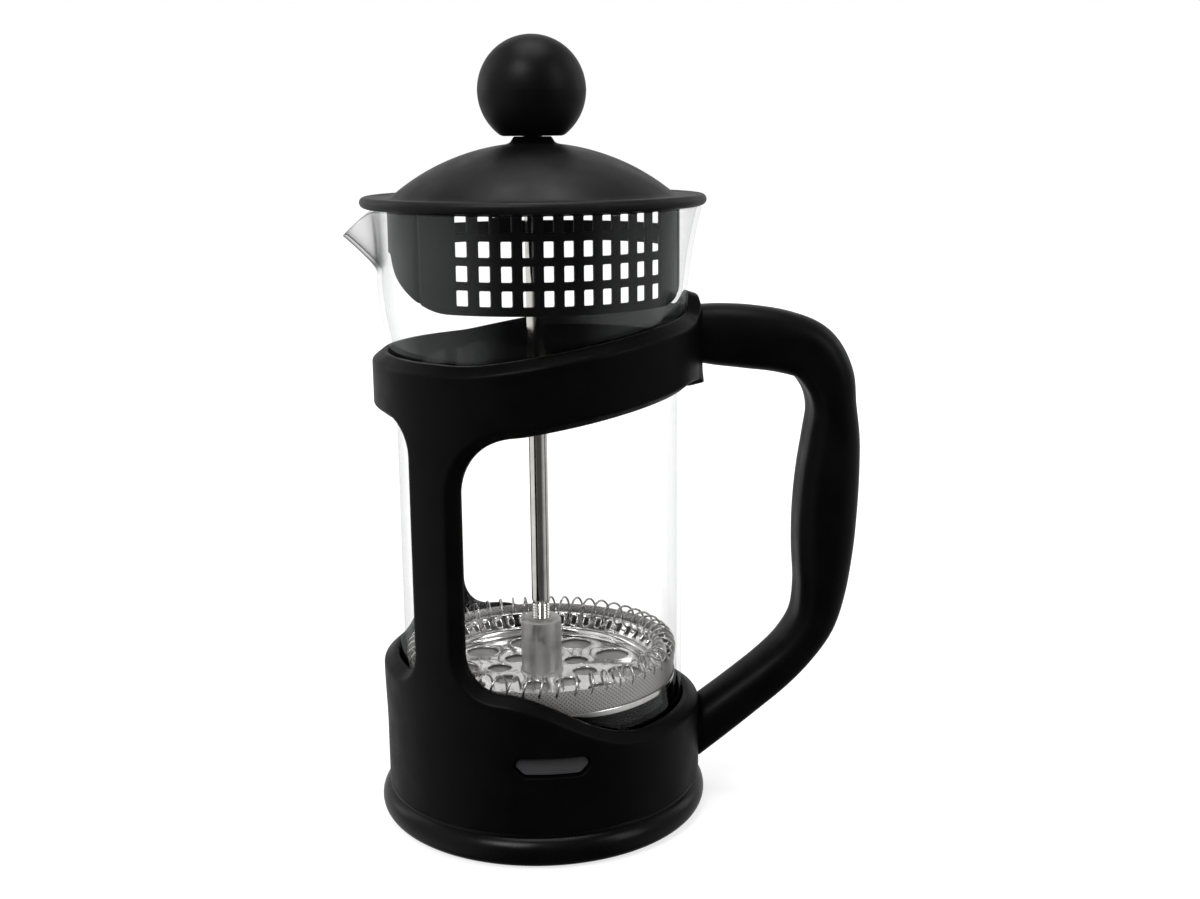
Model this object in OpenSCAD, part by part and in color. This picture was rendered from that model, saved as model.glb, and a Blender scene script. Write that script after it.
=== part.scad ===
// Three-cup french press: glass beaker in a moulded frame, domed lid with a
// pouring strainer, and a plunger with a coil-sealed filter.
// Origin: middle of the foot's underside, on the beaker's axis.
// +Z is up, +X points at the handle and -X at the spout.

/* [Beaker] */
// Outer radius of the straight part of the glass
beaker_r = 35.2; // [35.0:0.05:35.25]
// Thickness of the glass
glass_t = 1.2; // [1.1:0.05:1.3]
// Height of the glass rim above the table
rim_z = 150.4; // [150.2:0.1:150.6]
// Height at which the glass starts to widen towards the rim
flare_z = 118; // [116:0.5:119]
// How far the rim stands out from the straight part
flare_out = 4.8; // [4.6:0.05:4.9]
// Distance of the spout's tip from the axis
spout_reach = 45.4; // [44.5:0.1:46]

/* [Frame] */
// Outer radius of the frame's wall
frame_r = 39; // [38.5:0.1:39.1]
// Radial gap between the glass and the frame
glass_gap = 0.4; // [0.3:0.05:0.5]
// Height of the band's top edge at the spout side
band_top_z = 117.3; // [116:0.1:117.8]
// Height of the band's lower edge at the spout side
band_low_z = 102.5; // [101:0.1:104]
// Rise of the band towards the handle, per millimetre
band_slope = 0.168; // [0.16:0.002:0.172]
// Height of the base wall at the spout side
base_high_z = 41.6; // [40:0.1:43]
// Height of the base wall at the handle side
base_low_z = 29.4; // [29:0.1:31]
// Half the angle between the columns, seen from the spout
spout_window_half = 37.4; // [36:0.1:39]
// Where the handle-side window meets the columns
window_x = -19.2; // [-20:0.1:-18.5]

/* [Foot] */
// Outer radius of the foot ring
foot_r = 41; // [40.6:0.1:41.4]
// Height of the foot ring
foot_h = 8.6; // [8.2:0.1:9]
// Height of the floor that the glass stands on
floor_z = 6.5; // [6:0.1:7]

/* [Handle] */
// Width of the handle across the grip
grip_w = 17; // [15:0.5:18]
// Width of the handle where it meets the frame
root_w = 14.5; // [13:0.5:15]

/* [Lid] */
// Radius of the lid's flange
flange_r = 41; // [40.5:0.1:41.5]
// Thickness of the lid's flange
flange_t = 2.8; // [2.6:0.1:3]
// Radius of the sphere that the dome is part of
dome_sphere_r = 52.2; // [51.5:0.1:53]
// Height of the dome's crown
dome_top_z = 165.3; // [165.1:0.1:165.4]
// Outer radius of the strainer skirt
skirt_r = 34.6; // [34.4:0.05:34.65]
// Height of the skirt's lowest edge
skirt_low_z = 128.2; // [128:0.1:129]

/* [Plunger] */
// Diameter of the steel rod
rod_d = 4.5; // [4.4:0.05:4.6]
// Radius of the ball knob
knob_r = 12.75; // [12.6:0.05:12.8]
// Height of the ball's centre with the plunger down
knob_z = 177.2; // [177.1:0.05:177.4]
// Height of the ball's flat underside with the plunger down
knob_cut_z = 166.75; // [166.7:0.05:166.8]
// Radius of the hub nut
hub_r = 5.05; // [5:0.05:5.2]
// Height of the spring plate's underside
plate_z = 33.9; // [33.7:0.1:34]
// Radius of the circle that the coil spring is bent round
coil_ring_r = 30.8; // [30.6:0.1:30.9]
// Outer radius of the spring's own coil
coil_r = 2.9; // [2.8:0.05:3]
// Outer radius of the mesh screen
mesh_r = 33.7; // [33.5:0.05:33.7]

/* [Hidden] */
$fn = 96;

frame_in_r = beaker_r + glass_gap;
beaker_in_r = beaker_r - glass_t;
rod_r = rod_d / 2;
far = 60;               // reach of a cutting tool beyond the part
fit = 0.02;             // clearance between pieces of one body
run = 0.08;             // radial clearance of a sliding fit

// Glass
base_corner = 7;        // radius of the corner between wall and bottom
flare_steps = 12;
lip_tip_z = 144.9;
lip_root_z = 137.6;
lip_side_y = 9.5;
lip_ball_r = 1.1;

// Frame
band_bend_x = -16;      // where the band starts to rise
shell_low_z = 7.6;      // lower end of the base wall, inside the foot ring
window_fillet = 12;     // upper corner of the handle-side window
base_fillet = 7;        // lower corner of the handle-side window
spout_fillet = 6.5;     // corners of the spout-side window
dip_start_x = -12;      // where the base's top edge starts to fall
dip_end_x = 22.5;       // where it is level again
pad_r = 40.1;           // outer radius of the handle's pads
pad_half_w = 8;         // half the width of a pad
upper_pad_low_z = 107.5;
upper_pad_top_z = 129.8;
lower_pad_low_z = 9.6;
lower_pad_r = 39.8;

recess_in_r = 13;       // recess in the foot's underside
recess_out_r = 34;
recess_depth = 1.5;

// Foot clips and the slots they show in
slot_mid_z = 24.7;
slot_h = 4.2;
slot_top_half = 8.4;
slot_low_half = 6.2;
clip_half_w = 7;
clip_t = 1.1;
clip_top_z = 28;
clip_face_r = 37.9;
clip_mid_r = 37;
clip_reach = 20;        // radial reach of the block that a clip is cut from
pocket_gap = 0.3;
clip_gap = 0.15;        // clearance of a clip in its slot

// Handle: [x, z, thickness, share of the way from root_w to grip_w]
handle_line = [
    [36, 119.2, 14.2, 0], [43, 119.0, 14.9, 0], [52, 118.2, 15.6, 0.2], [60.5, 116.8, 15.3, 0.4],
    [67.4, 114.0, 14.7, 0.7], [71.6, 108.0, 13.3, 0.9], [73.1, 100.8, 11.8, 1],
    [73.2, 93, 13.8, 1], [72.6, 84, 15.4, 1], [72.0, 74, 15.9, 1], [71.6, 64, 15.1, 1],
    [71.1, 54, 12.9, 0.9], [69.3, 45.7, 11.4, 0.7], [65.0, 38.9, 11.0, 0.5],
    [58.8, 32.6, 11.4, 0.3], [50.4, 25.9, 11.8, 0.1], [43.4, 20.6, 12.2, 0], [35, 14.4, 12.4, 0]];
handle_steps = 3;       // rings between two points of the handle's line
handle_sides = 16;
handle_square = 2.5;    // exponent of the section: 2 is an ellipse
upper_screw_z = 119.2;
lower_screw_z = 19;
screw_r = 1.5;
screw_head_r = 3.2;
screw_head_t = 1.9;
screw_len = 11;
screw_gap = 0.25;       // the head lies this far inside the wall

// Strainer
skirt_t = 1.4;
skirt_top_z = 151.4;
groove_gap = 0.1;       // radial clearance of the skirt in the lid's groove
panel_azimuth = -80.3;   // middle of the deep part and of its holes, from +X
deep_half = 25;         // half-width at which the deep part's corners start
deep_corner = 9.4;
hole_columns = 11;
hole_rows = 4;
hole_w = 2.3;
hole_h = 3.5;
column_pitch = 4.45;
row_pitch = 5.37;
row_first_z = 148;      // middle of the top row
hoop_low_z = 140.2;
pour_low_z = 145.2;
pour_top_z = 149.7;
pour_end_x = 6;         // the slots end this far behind the middle
strut_w = 5;            // width of the strut between the slots
rib_w = 1.6;
rib_azimuths = [panel_azimuth - 62, panel_azimuth + 62, panel_azimuth + 180];

// Dome
dome_centre_z = dome_top_z - dome_sphere_r;
dome_t = 2;
boss_low_r = 5.6;
boss_high_r = 4.4;
boss_top_z = 166.65;
guide_r = 4.6;
guide_low_z = 157;

// Filter stack
sheet_t = 0.6;
mesh_t = 0.5;
small_hole_r = 3;
small_ring_r = 10.9;
big_hole_r = 4.15;
big_ring_r = 21;
step_r = 26.6;
step_rise = 1.9;
plate_rim_r = 32.6;
plate_rim_z = 40.4;
mesh_top_z = 41.2;
screw_hub_r = 2;
hub_h = 14.2;
insert_r = 3.6;
insert_top_z = 178;
rod_low_z = 41;
rod_top_z = 177;
wire_sides = 20;
wire_t = 0.5;
coil_gap_in = 1.4;      // the gap in the coil starts this far inside its middle line
coil_gap_up = 0.4;      // and ends this far above it
coil_gap_depth = 4;

// Straight-line blend of two numbers
function mix(a, b, t) = a + (b - a) * t;
// Radius of the glass's outside at height z
function glass_r(z) =
    let (t = max(0, (z - flare_z) / (rim_z - flare_z)))
    beaker_r + flare_out * (0.66 * t + 0.34 * pow(t, 4));
// Height of the band's top edge at x
function band_top(x) = band_top_z + band_slope * max(x - band_bend_x, 0);
// Height of the band's lower edge at x, on the handle side of the columns
function band_low(x) = band_low_z + band_slope * x;
// Height of the base's top edge at x, on the handle side of the columns
function base_top(x) =
    let (t = min(max((x - dip_start_x) / (dip_end_x - dip_start_x), 0), 1))
    mix(base_low_z, base_high_z, 0.5 + 0.5 * cos(180 * t));
// Points of an arc in the drawing plane
function arc(cx, cy, r, a0, a1, n = 8) =
    [for (i = [0:n]) let (a = mix(a0, a1, i / n)) [cx + r * cos(a), cy + r * sin(a)]];

// Turns a side-view outline (x, z) into a slab across the whole part
module side_slab(points, half = far) {
    translate([0, half, 0]) rotate([90, 0, 0]) linear_extrude(2 * half) polygon(points);
}

// Ring between two radii and two heights
module ring(r_in, r_out, z0, z1) {
    rotate_extrude() translate([r_in, z0]) square([r_out - r_in, z1 - z0]);
}

module handle_window() {
    x0 = window_x + window_fillet;
    z0 = band_low(x0) - window_fillet;
    side_slab(concat(
        [[far, band_low(far)]],
        arc(x0, z0, window_fillet, 90 + atan(band_slope), 180),
        arc(window_x + base_fillet, base_high_z + base_fillet, base_fillet, 180, 270),
        [for (i = [0:12]) let (x = mix(dip_start_x, dip_end_x, i / 12)) [x, base_top(x)]],
        [[far, base_low_z]]));
}

module spout_window() {
    half_w = frame_r * sin(spout_window_half) - 1;
    mid_z = (base_high_z + band_low_z) / 2;
    half_h = (band_low_z - base_high_z) / 2;
    translate([-far, 0, mid_z]) rotate([90, 0, 90]) linear_extrude(far - 5) union() {
        square([2 * half_w, 2 * (half_h - spout_fillet)], center = true);
        square([2 * (half_w - spout_fillet), 2 * half_h], center = true);
        for (sx = [-1, 1], sz = [-1, 1])
            translate([sx * (half_w - spout_fillet), sz * (half_h - spout_fillet)]) circle(spout_fillet);
    }
}

// Slot outline across X, widest at the top, grown by g
module slot_cut(r0, r1, g = 0) {
    for (side = [-1, 1])
        translate([0, side * (r0 + r1) / 2, slot_mid_z]) rotate([90, 0, 0])
            linear_extrude(r1 - r0, center = true)
                polygon([[-slot_top_half - g, slot_h / 2 + g], [-slot_low_half - g, -slot_h / 2 - g],
                         [slot_low_half + g, -slot_h / 2 - g], [slot_top_half + g, slot_h / 2 + g]]);
}

module pad(r_out, z0, z1) {
    intersection() {
        ring(frame_in_r, r_out, z0, z1);
        translate([0, -pad_half_w, z0]) cube([far, 2 * pad_half_w, z1 - z0]);
    }
}

module screw_shape(z, g = 0) {
    translate([frame_in_r + screw_gap, 0, z]) rotate([0, 90, 0]) union() {
        cylinder(h = screw_head_t + g, r = screw_head_r + g);
        cylinder(h = screw_len + g, r = screw_r + g);
    }
}

module frame_shell() {
    color("#1d1d1f") difference() {
        union() {
            difference() {
                ring(frame_in_r, frame_r, shell_low_z, upper_pad_top_z);
                side_slab([[-far, band_top(-far)], [band_bend_x, band_top(band_bend_x)],
                           [far, band_top(far)], [far, 2 * rim_z], [-far, 2 * rim_z]]);
                handle_window();
                spout_window();
            }
            pad(pad_r, upper_pad_low_z, upper_pad_top_z);
            pad(lower_pad_r, lower_pad_low_z, base_low_z);
        }
        // Relief for the widening glass, behind the band's high side
        rotate_extrude() polygon(concat(
            [[0, flare_z - 1], [frame_in_r, flare_z - 1]],
            [for (i = [0:flare_steps]) let (z = mix(flare_z, rim_z, i / flare_steps))
                [glass_r(z) + glass_gap, z]],
            [[0, rim_z]]));
        // Openings that show the foot's clips, and the pockets behind them
        slot_cut(frame_in_r - 1, frame_r + 1);
        for (side = [-1, 1]) intersection() {
            ring(frame_in_r - 1, frame_in_r + clip_t + pocket_gap, 0, clip_top_z + pocket_gap);
            translate([-clip_half_w - pocket_gap, side * clip_mid_r - clip_reach / 2, 0])
                cube([2 * (clip_half_w + pocket_gap), clip_reach, clip_top_z + pocket_gap]);
        }
        // Screw holes, open to the inside
        for (z = [upper_screw_z, lower_screw_z]) {
            screw_shape(z, fit);
            translate([frame_in_r - 3, 0, z]) rotate([0, 90, 0]) cylinder(h = 4, r = screw_head_r + fit);
        }
    }
}

module foot_base() {
    bulge = foot_h / 2;
    wall_r = frame_r + 0.3;
    color("#19191b") union() {
        difference() {
            rotate_extrude() polygon(concat(
                [[0, 0], [foot_r - bulge, 0]],
                arc(foot_r - bulge, bulge, bulge, -90, 75, 12),
                [[wall_r, foot_h - 0.4], [wall_r, shell_low_z - fit], [frame_in_r - 1, shell_low_z - fit],
                 [frame_in_r - 1, floor_z], [0, floor_z]]));
            // Recess under the foot, round a middle pad
            ring(recess_in_r, recess_out_r, -1, recess_depth);
        }
        for (side = [-1, 1]) intersection() {
            ring(frame_in_r + clip_gap, frame_in_r + clip_t, floor_z - 1, clip_top_z);
            translate([-clip_half_w, side * clip_mid_r - clip_reach / 2, floor_z - 1])
                cube([2 * clip_half_w, clip_reach, clip_top_z]);
        }
        intersection() {
            ring(frame_in_r + clip_gap, clip_face_r, 0, clip_top_z);
            slot_cut(frame_in_r, frame_r, -clip_gap);
        }
    }
}

// Smooth curve through four neighbours of the handle's line, 0 <= t <= 1
function catmull(p0, p1, p2, p3, t) =
    0.5 * (2 * p1 + (p2 - p0) * t + (2 * p0 - 5 * p1 + 4 * p2 - p3) * t * t
           + (3 * p1 - p0 - 3 * p2 + p3) * t * t * t);
handle_last = len(handle_line) - 1;
handle_path = [for (i = [0:handle_last - 1], k = [0:handle_steps - (i < handle_last - 1 ? 1 : 0)])
    catmull(handle_line[max(i - 1, 0)], handle_line[i], handle_line[i + 1],
            handle_line[min(i + 2, handle_last)], k / handle_steps)];
function signed_pow(v, e) = sign(v) * pow(abs(v), e);
// Ring of points round one station: p is [x, z, thickness, width share]
function handle_ring(p, tangent) =
    let (a = atan2(tangent[1], tangent[0]), w = mix(root_w, grip_w, p[3]) / 2, h = p[2] / 2,
         e = 2 / handle_square)
    [for (k = [0:handle_sides - 1])
        let (q = 360 * k / handle_sides, n = h * signed_pow(cos(q), e), y = w * signed_pow(sin(q), e))
        [p[0] - n * sin(a), y, p[1] + n * cos(a)]];

module handle() {
    n = len(handle_path);
    rings = [for (i = [0:n - 1])
        handle_ring(handle_path[i], handle_path[min(i + 1, n - 1)] - handle_path[max(i - 1, 0)])];
    points = [for (r = rings, p = r) p];
    sides = [for (i = [0:n - 2], k = [0:handle_sides - 1])
        let (a = i * handle_sides, b = a + handle_sides, k2 = (k + 1) % handle_sides)
        [a + k, a + k2, b + k2, b + k]];
    caps = [[for (k = [handle_sides - 1:-1:0]) k],
            [for (k = [0:handle_sides - 1]) (n - 1) * handle_sides + k]];
    color("#1b1b1d") difference() {
        polyhedron(points, concat(sides, caps));
        translate([0, 0, upper_pad_low_z - 5]) cylinder(h = 40, r = pad_r);
        translate([0, 0, -1]) cylinder(h = 60, r = lower_pad_r);
        for (z = [upper_screw_z, lower_screw_z]) screw_shape(z, fit);
    }
}

module handle_screws() {
    color("silver") for (z = [upper_screw_z, lower_screw_z]) screw_shape(z);
}

// Half outline of the glass, inset from its outside and closed at height top
function glass_outline(inset, top) = concat(
    [[0, floor_z + inset]],
    arc(beaker_r - base_corner, floor_z + base_corner, base_corner - inset, -90, 0),
    [for (i = [0:flare_steps]) let (z = mix(flare_z, rim_z, i / flare_steps)) [glass_r(z) - inset, z]],
    top > rim_z ? [[glass_r(rim_z) - inset, top]] : [],
    [[0, top]]);

// Four-sided body of the pouring lip: a tip, two corners at the rim and a root
module lip(tip, corner, root) {
    hull() {
        translate([-tip[0], 0, tip[1]]) sphere(r = lip_ball_r, $fn = 20);
        for (side = [-1, 1])
            translate([-corner[0], side * corner[1], corner[2]]) sphere(r = lip_ball_r, $fn = 20);
        translate([-root[0], 0, root[1]]) sphere(r = lip_ball_r, $fn = 20);
    }
}

module beaker() {
    edge_z = rim_z - lip_ball_r;
    side_x = sqrt(pow(glass_r(edge_z), 2) - lip_side_y * lip_side_y) - lip_ball_r;
    root_x = glass_r(lip_root_z) - lip_ball_r;
    tip_x = spout_reach - lip_ball_r;
    wall = glass_t * 1.15;
    color("lightblue", 0.4) difference() {
        union() {
            rotate_extrude() polygon(glass_outline(0, rim_z));
            lip([tip_x, lip_tip_z], [side_x, lip_side_y, edge_z], [root_x, lip_root_z]);
        }
        rotate_extrude() polygon(glass_outline(glass_t, 2 * rim_z));
        // Channel of the lip, open upwards
        translate([wall, 0, wall]) hull() for (up = [0, 9]) translate([0, 0, up])
            lip([tip_x, lip_tip_z], [side_x, lip_side_y, edge_z], [root_x, lip_root_z]);
    }
}

module lid_dome() {
    base_z = rim_z;
    edge = flange_t / 2;
    bore = rod_r + run;
    inner_r = dome_sphere_r - dome_t;
    color("#222224") rotate_extrude() difference() {
        union() {
            // Flange with a round edge
            translate([0, base_z]) square([flange_r - edge, flange_t]);
            translate([flange_r - edge, base_z + edge]) circle(edge);
            // Dome, boss for the knob and guide for the rod
            intersection() {
                translate([0, dome_centre_z]) circle(dome_sphere_r, $fn = 240);
                translate([0, base_z]) square([34.4, 20]);
            }
            polygon([[0, dome_top_z - 2], [boss_low_r, dome_top_z - 2], [boss_low_r, dome_top_z - 0.6],
                     [boss_high_r, boss_top_z], [0, boss_top_z]]);
        }
        // Hollow of the dome, round the guide
        difference() {
            intersection() {
                translate([0, dome_centre_z]) circle(inner_r, $fn = 240);
                translate([0, base_z - 1]) square([skirt_r - skirt_t, 20]);
            }
            translate([0, guide_low_z]) square([guide_r, 20]);
        }
        // Groove that holds the strainer's top edge
        translate([skirt_r - skirt_t - groove_gap, base_z - 1])
            square([skirt_t + 2 * groove_gap, skirt_top_z + groove_gap / 2 - base_z + 1]);
        square([bore, 2 * rim_z]);
        translate([-far, 0]) square([far, 2 * rim_z]);
    }
}

// Everything below the deep part's outline, seen along its middle
module shallow_cut() {
    centre_z = skirt_low_z + deep_corner - fit;
    rotate([0, 0, panel_azimuth + 90]) translate([0, far, 0]) rotate([90, 0, 0])
        linear_extrude(2 * far) polygon(concat(
            [[-far, 0], [far, 0], [far, hoop_low_z], [deep_half + deep_corner, hoop_low_z]],
            arc(deep_half, centre_z, deep_corner, 0, -90),
            arc(-deep_half, centre_z, deep_corner, -90, -180),
            [[-deep_half - deep_corner, hoop_low_z], [-far, hoop_low_z]]));
}

module lid_strainer() {
    in_r = skirt_r - skirt_t;
    color("#242426") difference() {
        union() {
            ring(in_r, skirt_r, skirt_low_z, skirt_top_z);
            for (a = rib_azimuths) rotate([0, 0, a]) translate([in_r - 1, -rib_w / 2, hoop_low_z])
                cube([1 + skirt_t / 2, rib_w, rim_z - hoop_low_z - 0.4]);
        }
        // The back half is only a hoop
        rotate([0, 0, panel_azimuth]) translate([-far, -far, 0]) cube([far, 2 * far, hoop_low_z]);
        intersection() {
            shallow_cut();
            rotate([0, 0, panel_azimuth]) translate([-fit, -far, 0]) cube([far, 2 * far, rim_z]);
        }
        // Pouring slots above the hoop, either side of a strut
        rotate([0, 0, panel_azimuth]) for (s = [-1, 1]) intersection() {
            translate([-far - pour_end_x, s * (strut_w + far) / 2, (pour_low_z + pour_top_z) / 2])
                cube([2 * far, far, pour_top_z - pour_low_z], center = true);
            ring(in_r - 3, skirt_r + 3, pour_low_z - 1, pour_top_z + 1);
        }
        // Grid of holes, all pulled one way
        rotate([0, 0, panel_azimuth]) for (c = [0:hole_columns - 1], r = [0:hole_rows - 1])
            translate([18, (c - (hole_columns - 1) / 2) * column_pitch - hole_w / 2,
                       row_first_z - r * row_pitch - hole_h / 2])
                cube([far, hole_w, hole_h]);
    }
}

module rod() {
    color("silver") translate([0, 0, rod_low_z]) cylinder(h = rod_top_z - rod_low_z, r = rod_r);
}

module knob() {
    color("#1a1a1c") difference() {
        translate([0, 0, knob_z]) sphere(r = knob_r, $fn = 120);
        translate([-far, -far, 0]) cube([2 * far, 2 * far, knob_cut_z]);
        translate([0, 0, knob_cut_z - 1]) cylinder(h = insert_top_z - knob_cut_z + 1, r = insert_r + fit);
    }
}

module knob_insert() {
    color("goldenrod") difference() {
        translate([0, 0, knob_cut_z]) cylinder(h = insert_top_z - knob_cut_z, r = insert_r);
        translate([0, 0, knob_cut_z - 1]) cylinder(h = rod_top_z - knob_cut_z + 1 + fit, r = rod_r + fit);
    }
}

module hub_nut() {
    low = plate_z + sheet_t;
    bevel = 0.7;
    color("silver") difference() {
        rotate_extrude() polygon([[0, low], [hub_r, low], [hub_r, low + hub_h - bevel],
                                  [hub_r - bevel, low + hub_h], [0, low + hub_h]]);
        translate([0, 0, rod_low_z - fit]) cylinder(h = far, r = rod_r + fit);
        translate([0, 0, low - 1]) cylinder(h = rod_low_z - low, r = screw_hub_r + fit);
    }
}

// Round pattern of n holes at radius r
module hole_ring(n, r, hole, phase) {
    for (i = [0:n - 1]) rotate([0, 0, phase + 360 * i / n]) translate([r, 0, 0]) cylinder(h = 10, r = hole);
}

module spring_plate() {
    flat = plate_z;
    up = flat + step_rise;
    color("gainsboro") difference() {
        rotate_extrude() polygon([
            [screw_hub_r + fit, flat], [step_r, flat], [step_r + 1, up - sheet_t],
            [step_r + 1.6, up - sheet_t], [plate_rim_r, plate_rim_z - sheet_t],
            [plate_rim_r, plate_rim_z], [step_r + 1.4, up + 0.2],
            [step_r, up], [step_r - 0.6, flat + sheet_t], [screw_hub_r + fit, flat + sheet_t]]);
        translate([0, 0, flat - 1]) hole_ring(8, small_ring_r, small_hole_r, -12);
        translate([0, 0, flat - 1]) hole_ring(10, big_ring_r, big_hole_r, -10);
    }
}

module coil_spring() {
    z = plate_rim_z + 0.6;
    // Closed ring of the coil's outer size, hollow like the coil
    color("silver") rotate_extrude() translate([coil_ring_r, z]) difference() {
        circle(coil_r, $fn = wire_sides);
        circle(coil_r - wire_t, $fn = wire_sides);
        // The plate's rim and the mesh pass between the turns
        translate([-coil_gap_in, -coil_gap_depth]) square([far, coil_gap_depth + coil_gap_up]);
    }
}

module mesh_screen() {
    low = plate_z - mesh_t;
    color("darkgray") difference() {
        rotate_extrude() polygon([
            [screw_hub_r + fit, low], [mesh_r - 1.2, low], [mesh_r - 0.7, plate_z + 1.4],
            [mesh_r, mesh_top_z], [mesh_r - mesh_t, mesh_top_z], [mesh_r - 0.7 - mesh_t, plate_z + 1.5],
            [mesh_r - 1.3 - mesh_t, plate_z], [screw_hub_r + fit, plate_z]]);
    }
}

module bottom_plate() {
    top = plate_z - mesh_t;
    low = top - sheet_t;
    rim_r = mesh_r - 0.55;
    color("gainsboro") difference() {
        rotate_extrude() polygon([
            [screw_hub_r + fit, low], [rim_r - 0.6, low], [rim_r, low + 0.6], [rim_r, top + 1.4],
            [rim_r - 0.2, top + 1.4], [rim_r - 0.6, top], [screw_hub_r + fit, top]]);
        translate([0, 0, low - 1]) hole_ring(8, small_ring_r, small_hole_r, -12);
        translate([0, 0, low - 1]) hole_ring(10, big_ring_r, big_hole_r, -10);
    }
}

module clamp_screw() {
    low = plate_z - mesh_t - sheet_t;
    head_t = 2;
    color("silver") union() {
        translate([0, 0, low - head_t]) cylinder(h = head_t, r = 4);
        translate([0, 0, low - head_t]) cylinder(h = rod_low_z - 1.2 - low + head_t, r = screw_hub_r);
    }
}

frame_shell();
foot_base();
handle();
handle_screws();
beaker();
lid_dome();
lid_strainer();
rod();
knob();
knob_insert();
hub_nut();
spring_plate();
coil_spring();
mesh_screen();
bottom_plate();
clamp_screw();
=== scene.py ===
import math

import bmesh
import bpy
from mathutils import Matrix, Vector
from mathutils.geometry import tessellate_polygon


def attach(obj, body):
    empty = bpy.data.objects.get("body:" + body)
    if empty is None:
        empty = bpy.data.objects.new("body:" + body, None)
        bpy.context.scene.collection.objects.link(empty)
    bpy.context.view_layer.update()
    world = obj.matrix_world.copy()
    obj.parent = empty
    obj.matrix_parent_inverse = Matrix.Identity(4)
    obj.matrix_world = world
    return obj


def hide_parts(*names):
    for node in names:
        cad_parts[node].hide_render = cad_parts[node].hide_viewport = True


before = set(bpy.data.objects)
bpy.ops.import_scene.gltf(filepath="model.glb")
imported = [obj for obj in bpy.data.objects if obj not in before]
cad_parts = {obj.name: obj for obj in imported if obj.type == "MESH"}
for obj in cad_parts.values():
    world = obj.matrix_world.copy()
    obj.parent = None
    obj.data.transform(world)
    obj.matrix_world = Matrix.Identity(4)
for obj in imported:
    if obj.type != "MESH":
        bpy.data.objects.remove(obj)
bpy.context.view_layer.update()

MM = 0.001
PI = math.pi
TAU = 2 * PI
TINY = 1e-9             # lengths below this count as nothing
ON_SEAM = 1e-4          # points this near the seam lie on it

# Sizes in millimetres, as in the CAD model
GLASS_R = 35.2
GLASS_T = 1.2
RIM_Z = 150.4
FLARE_Z = 118.0
FLARE_OUT = 4.8
LIP_Z = 136.0           # the pouring lip starts at this height
FRAME_IN = 35.6
FRAME_OUT = 39.0
FLOOR_Z = 6.5
DOME_TOP = 165.3
DOME_R = 52.2
DOME_WALL = 2.0
SKIRT_R = 34.6
SKIRT_IN = 33.2
PANEL_AZ = math.radians(-80.3)
BALL_R = 12.75
BALL_Z = 177.2
BALL_FLAT = 166.75      # height of the ball's flat underside
ROD_R = 2.25
PLATE_R = 26.4
SCREEN_R = 33.5
SPRING_TURNS = 54


# ---------------------------------------------------------------- helpers
def mix(a, b, t):
    return a + (b - a) * t


def clamp(t, low=0.0, high=1.0):
    return max(low, min(high, t))


def smooth(t):
    t = clamp(t)
    return t * t * (3 - 2 * t)


def arc(cx, cy, r, a0, a1, n=8):
    """Points of an arc, angles in degrees."""
    out = []
    for i in range(n + 1):
        a = math.radians(mix(a0, a1, i / n))
        out.append((cx + r * math.cos(a), cy + r * math.sin(a)))
    return out


def dense(points, step, closed=True):
    """The same outline with points no further apart than step."""
    out = []
    n = len(points)
    for i in range(n if closed else n - 1):
        a, b = Vector(points[i]), Vector(points[(i + 1) % n])
        m = max(1, int(math.ceil((b - a).length / step)))
        out += [tuple(a.lerp(b, k / m)) for k in range(m)]
    if not closed:
        out.append(tuple(points[-1]))
    return out


def finish_mesh(bm, name, sharp=40, merge=0.002):
    """Turns millimetre geometry into an object in metres, with smooth shading and sharp edges by angle."""
    bmesh.ops.remove_doubles(bm, verts=bm.verts, dist=merge)
    bmesh.ops.recalc_face_normals(bm, faces=bm.faces)
    bmesh.ops.scale(bm, vec=(MM, MM, MM), verts=bm.verts)
    mesh = bpy.data.meshes.new(name)
    bm.to_mesh(mesh)
    bm.free()
    mesh.shade_smooth()
    mesh.set_sharp_from_angle(angle=math.radians(sharp))
    obj = bpy.data.objects.new(name, mesh)
    bpy.context.scene.collection.objects.link(obj)
    return obj


def ring(bm, r, z, segments):
    """A circle of new vertices about Z, or one vertex where the radius is nothing."""
    if r < TINY:
        return [bm.verts.new((0, 0, z))]
    turns = [TAU * k / segments for k in range(segments)]
    return [bm.verts.new((r * math.cos(a), r * math.sin(a), z)) for a in turns]


def join(bm, a, b):
    """Faces between two rings, of which one may be a single vertex."""
    faces = []
    n = max(len(a), len(b))
    for k in range(n):
        j = (k + 1) % n
        if len(a) == 1:
            corners = (a[0], b[k], b[j])
        elif len(b) == 1:
            corners = (a[k], a[j], b[0])
        else:
            corners = (a[k], a[j], b[j], b[k])
        faces.append(bm.faces.new(corners))
    return faces


def lathe(name, profile, segments=192, closed=False, sharp=40, unroll_r=None):
    """Turns (radius, height) points about Z. With unroll_r, adds a UV map in mm, unrolled at that radius."""
    bm = bmesh.new()
    rings = [ring(bm, r, z, segments) for r, z in profile]
    pairs = list(zip(rings, rings[1:])) + ([(rings[-1], rings[0])] if closed else [])
    layer = bm.loops.layers.uv.new("UVMap") if unroll_r else None
    flat_step = 0.4     # a strip that rises less than this is mapped from above
    for number, (a, b) in enumerate(pairs):
        faces = join(bm, a, b)
        if not unroll_r:
            continue
        flat = abs(profile[number][1] - profile[(number + 1) % len(profile)][1]) < flat_step
        for k, face in enumerate(faces):
            j = (k + 1) % segments
            for loop in face.loops:
                co = loop.vert.co
                if flat:
                    loop[layer].uv = (co.x, co.y)
                else:
                    turn = k + (1 if loop.vert in (a[j], b[j]) else 0)
                    loop[layer].uv = (turn / segments * TAU * unroll_r, co.z)
    return finish_mesh(bm, name, sharp)


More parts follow.
